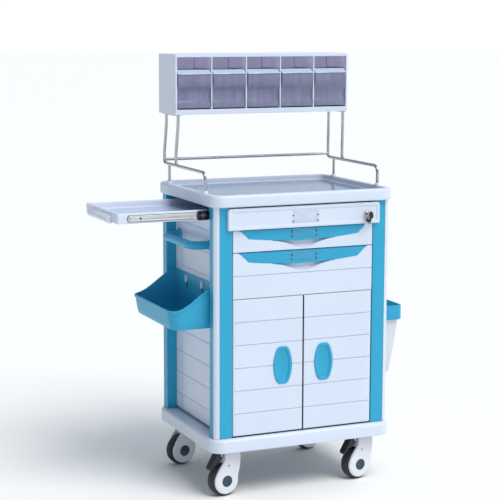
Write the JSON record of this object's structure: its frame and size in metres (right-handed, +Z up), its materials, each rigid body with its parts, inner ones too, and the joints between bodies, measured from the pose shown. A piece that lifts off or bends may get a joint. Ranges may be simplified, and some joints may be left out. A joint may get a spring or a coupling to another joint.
{
  "type": "crash cart",
  "caption": "Ward trolley on swivel casters with drawers under a tray top, cupboard doors, a raised row of tilt bins, a pull-out side shelf, a side basket and a waste bucket.",
  "frame": {"origin": "on the floor, below the middle of the whole footprint with the side shelf pulled out", "axes": "+Z up, +X to the right as seen from the drawers' side, +Y to the back"},
  "size_m": [1.034, 0.5302, 1.3684],
  "materials": {
    "white_abs": "moulded, light satin gloss",
    "blue_abs": "moulded, light satin gloss",
    "grey_abs": "moulded, matt",
    "clear_smoke": "clear smoked styrene, glossy",
    "zinc_steel": "zinc plated sheet",
    "stainless": "polished stainless tube",
    "chrome": "plated",
    "black_nylon": "moulded, fine matt",
    "tyre_rubber": "smooth tread"
  },
  "bodies": {
    "cart": {"base_tray": "white_abs", "bin_cabinet": "white_abs", "bin_stand_left": "stainless", "bin_stand_right": "stainless", "corner_strip_back_left": "white_abs", "corner_strip_back_right": "white_abs", "corner_strip_front_left": "white_abs", "corner_strip_front_right": "white_abs", "divider": "zinc_steel", "guard_rail": "stainless", "hinge_pin_left": "zinc_steel", "hinge_pin_right": "zinc_steel", "panel_back": "white_abs", "panel_left": "white_abs", "panel_right": "white_abs", "post_back_left": "blue_abs", "post_back_right": "blue_abs", "post_front_left": "blue_abs", "post_front_right": "blue_abs", "push_handle": "blue_abs", "runner_left": "zinc_steel", "runner_right": "zinc_steel", "shelf_channel_back": "black_nylon", "shelf_channel_front": "black_nylon", "side_basket": "blue_abs", "underframe": "zinc_steel", "waste_collar": "blue_abs", "worktop": "white_abs"},
    "top_drawer": {"top_drawer_front": "white_abs", "top_drawer_box": "grey_abs"},
    "lock": {"lock_barrel": "chrome", "key": "black_nylon"},
    "spare_key": {"spare_key": "black_nylon"},
    "drawer_2": {"drawer_2_front": "white_abs", "drawer_2_grip": "blue_abs", "drawer_2_box": "grey_abs"},
    "drawer_3": {"drawer_3_front": "white_abs", "drawer_3_grip": "blue_abs", "drawer_3_box": "grey_abs"},
    "door_left": {"door_left": "white_abs", "door_cup_left": "blue_abs"},
    "door_right": {"door_right": "white_abs", "door_cup_right": "blue_abs"},
    "side_shelf": {"side_shelf": "white_abs"},
    "waste_bucket": {"waste_bucket": "white_abs"},
    "tilt_bin_1": {"tilt_bin_1": "clear_smoke"},
    "tilt_bin_2": {"tilt_bin_2": "clear_smoke"},
    "tilt_bin_3": {"tilt_bin_3": "clear_smoke"},
    "tilt_bin_4": {"tilt_bin_4": "clear_smoke"},
    "tilt_bin_5": {"tilt_bin_5": "clear_smoke"},
    "caster_front_left": {"caster_housing_front_left": "white_abs"},
    "wheel_front_left": {"wheel_front_left": "tyre_rubber"},
    "caster_front_right": {"caster_housing_front_right": "white_abs"},
    "wheel_front_right": {"wheel_front_right": "tyre_rubber"},
    "caster_back_left": {"caster_housing_back_left": "white_abs"},
    "wheel_back_left": {"wheel_back_left": "tyre_rubber"},
    "caster_back_right": {"caster_housing_back_right": "white_abs"},
    "wheel_back_right": {"wheel_back_right": "tyre_rubber"},
    "brake_front_left": {"brake_pedal_front_left": "black_nylon"},
    "brake_front_right": {"brake_pedal_front_right": "black_nylon"}
  },
  "joints": [
    {"name": "top_drawer_slide", "type": "slide", "parent": "cart", "child": "top_drawer", "axis": [0, -1, 0], "range_m": [0, 0.36]},
    {"name": "drawer_2_slide", "type": "slide", "parent": "cart", "child": "drawer_2", "axis": [0, -1, 0], "range_m": [0, 0.36]},
    {"name": "drawer_3_slide", "type": "slide", "parent": "cart", "child": "drawer_3", "axis": [0, -1, 0], "range_m": [0, 0.36]},
    {"name": "key_turn", "type": "hinge", "parent": "top_drawer", "child": "lock", "pos_m": [0.301, -0.2311, 0.873], "axis": [0, 1, 0], "range_deg": [0, 90]},
    {"name": "spare_key_swing", "type": "hinge", "parent": "top_drawer", "child": "spare_key", "pos_m": [0.301, -0.2371, 0.873], "axis": [0, 1, 0], "range_deg": [-30, 30]},
    {"name": "door_left_hinge", "type": "hinge", "parent": "cart", "child": "door_left", "pos_m": [-0.1425, -0.2044, 0.1967], "axis": [0, 0, -1], "range_deg": [0, 100]},
    {"name": "door_right_hinge", "type": "hinge", "parent": "cart", "child": "door_right", "pos_m": [0.3165, -0.2044, 0.1967], "axis": [0, 0, 1], "range_deg": [0, 100]},
    {"name": "side_shelf_slide", "type": "slide", "parent": "cart", "child": "side_shelf", "axis": [1, 0, 0], "range_m": [0, 0.289]},
    {"name": "bin_1_pivot", "type": "hinge", "parent": "cart", "child": "tilt_bin_1", "pos_m": [-0.15436, 0.1105, 1.208], "axis": [1, 0, 0], "range_deg": [0, 38]},
    {"name": "bin_2_pivot", "type": "hinge", "parent": "cart", "child": "tilt_bin_2", "pos_m": [-0.03368, 0.1105, 1.208], "axis": [1, 0, 0], "range_deg": [0, 38]},
    {"name": "bin_3_pivot", "type": "hinge", "parent": "cart", "child": "tilt_bin_3", "pos_m": [0.087, 0.1105, 1.208], "axis": [1, 0, 0], "range_deg": [0, 38]},
    {"name": "bin_4_pivot", "type": "hinge", "parent": "cart", "child": "tilt_bin_4", "pos_m": [0.20768, 0.1105, 1.208], "axis": [1, 0, 0], "range_deg": [0, 38]},
    {"name": "bin_5_pivot", "type": "hinge", "parent": "cart", "child": "tilt_bin_5", "pos_m": [0.32836, 0.1105, 1.208], "axis": [1, 0, 0], "range_deg": [0, 38]},
    {"name": "waste_bucket_lift", "type": "slide", "parent": "cart", "child": "waste_bucket", "axis": [0, 0, 1], "range_m": [0, 0.2]},
    {"name": "caster_front_left_swivel", "type": "hinge", "parent": "cart", "child": "caster_front_left", "pos_m": [-0.147, -0.1674, 0], "axis": [0, 0, 1], "continuous": true},
    {"name": "wheel_front_left_spin", "type": "hinge", "parent": "caster_front_left", "child": "wheel_front_left", "pos_m": [-0.16867, -0.17122, 0.05], "axis": [-0.1736, 0.9848, 0], "continuous": true},
    {"name": "caster_front_right_swivel", "type": "hinge", "parent": "cart", "child": "caster_front_right", "pos_m": [0.321, -0.1674, 0], "axis": [0, 0, 1], "continuous": true},
    {"name": "wheel_front_right_spin", "type": "hinge", "parent": "caster_front_right", "child": "wheel_front_right", "pos_m": [0.29933, -0.17122, 0.05], "axis": [-0.1736, 0.9848, 0], "continuous": true},
    {"name": "caster_back_left_swivel", "type": "hinge", "parent": "cart", "child": "caster_back_left", "pos_m": [-0.147, 0.2026, 0], "axis": [0, 0, 1], "continuous": true},
    {"name": "wheel_back_left_spin", "type": "hinge", "parent": "caster_back_left", "child": "wheel_back_left", "pos_m": [-0.16867, 0.19878, 0.05], "axis": [-0.1736, 0.9848, 0], "continuous": true},
    {"name": "caster_back_right_swivel", "type": "hinge", "parent": "cart", "child": "caster_back_right", "pos_m": [0.321, 0.2026, 0], "axis": [0, 0, 1], "continuous": true},
    {"name": "wheel_back_right_spin", "type": "hinge", "parent": "caster_back_right", "child": "wheel_back_right", "pos_m": [0.29933, 0.19878, 0.05], "axis": [-0.1736, 0.9848, 0], "continuous": true},
    {"name": "brake_front_left_press", "type": "hinge", "parent": "caster_front_left", "child": "brake_front_left", "pos_m": [-0.18245, -0.17365, 0.1295], "axis": [0.1736, -0.9848, 0], "range_deg": [0, 12]},
    {"name": "brake_front_right_press", "type": "hinge", "parent": "caster_front_right", "child": "brake_front_right", "pos_m": [0.28555, -0.17365, 0.1295], "axis": [0.1736, -0.9848, 0], "range_deg": [0, 12]}
  ]
}
